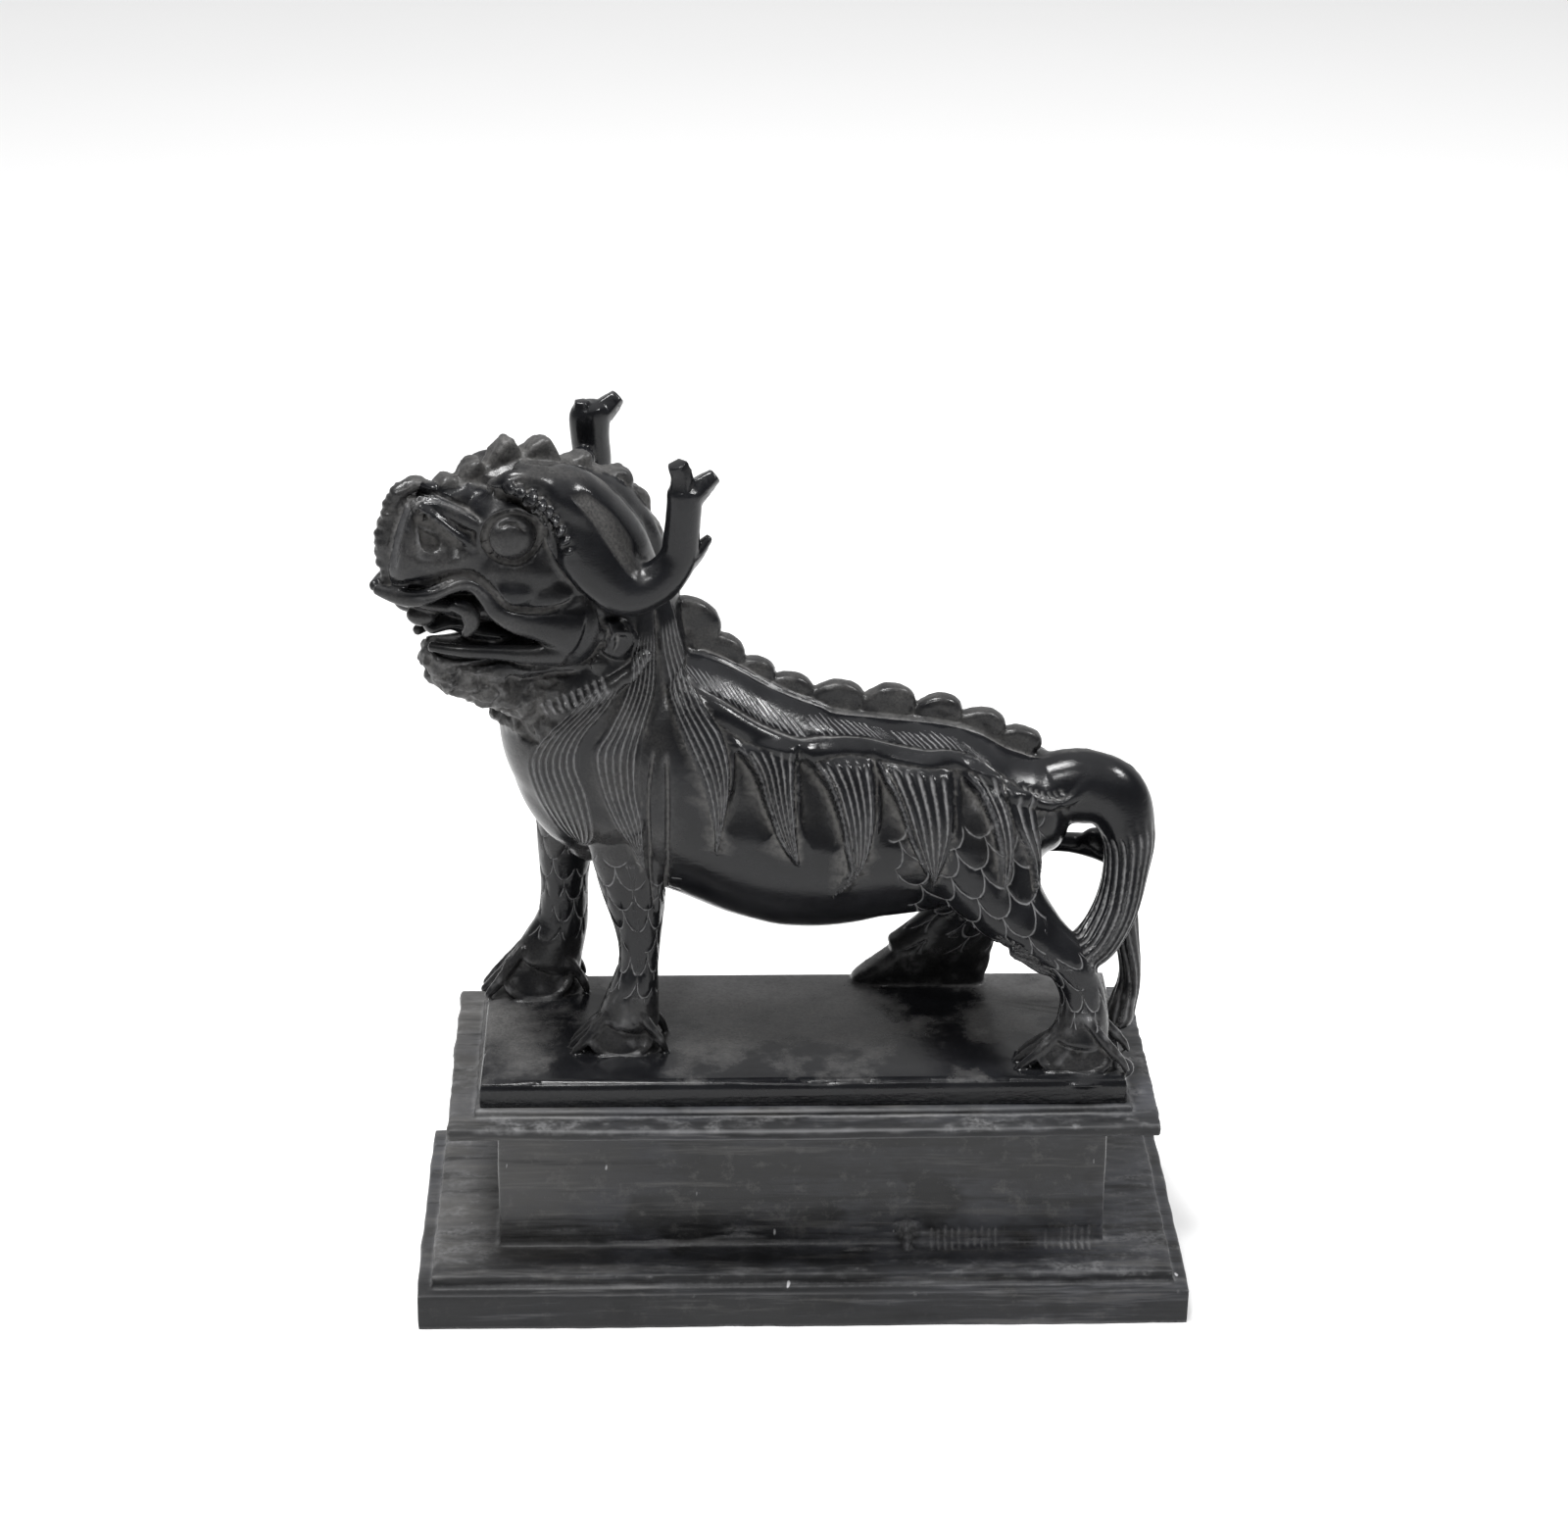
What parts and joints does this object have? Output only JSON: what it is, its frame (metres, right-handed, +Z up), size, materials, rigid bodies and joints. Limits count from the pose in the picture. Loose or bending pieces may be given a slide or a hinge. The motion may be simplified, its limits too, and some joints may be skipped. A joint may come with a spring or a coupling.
{
  "type": "guardian beast statue",
  "caption": "Horned, scaled guardian beast carved in dark stone, standing with raised head on a tablet, on a stepped plinth.",
  "frame": {"origin": "centre of the plinth's lower slab, on its flat underside", "axes": "+X along the plinth towards the tail, so the beast faces -X; -Y is the side seen in the picture; +Z up"},
  "size_m": [0.2063, 0.0886, 0.2328],
  "materials": {
    "polished_stone": "polished black stone with dusty recesses",
    "honed_stone": "honed black stone with pale chisel marks"
  },
  "bodies": {
    "root": {"guardian_beast": "polished_stone", "plinth": "honed_stone"}
  },
  "joints": []
}
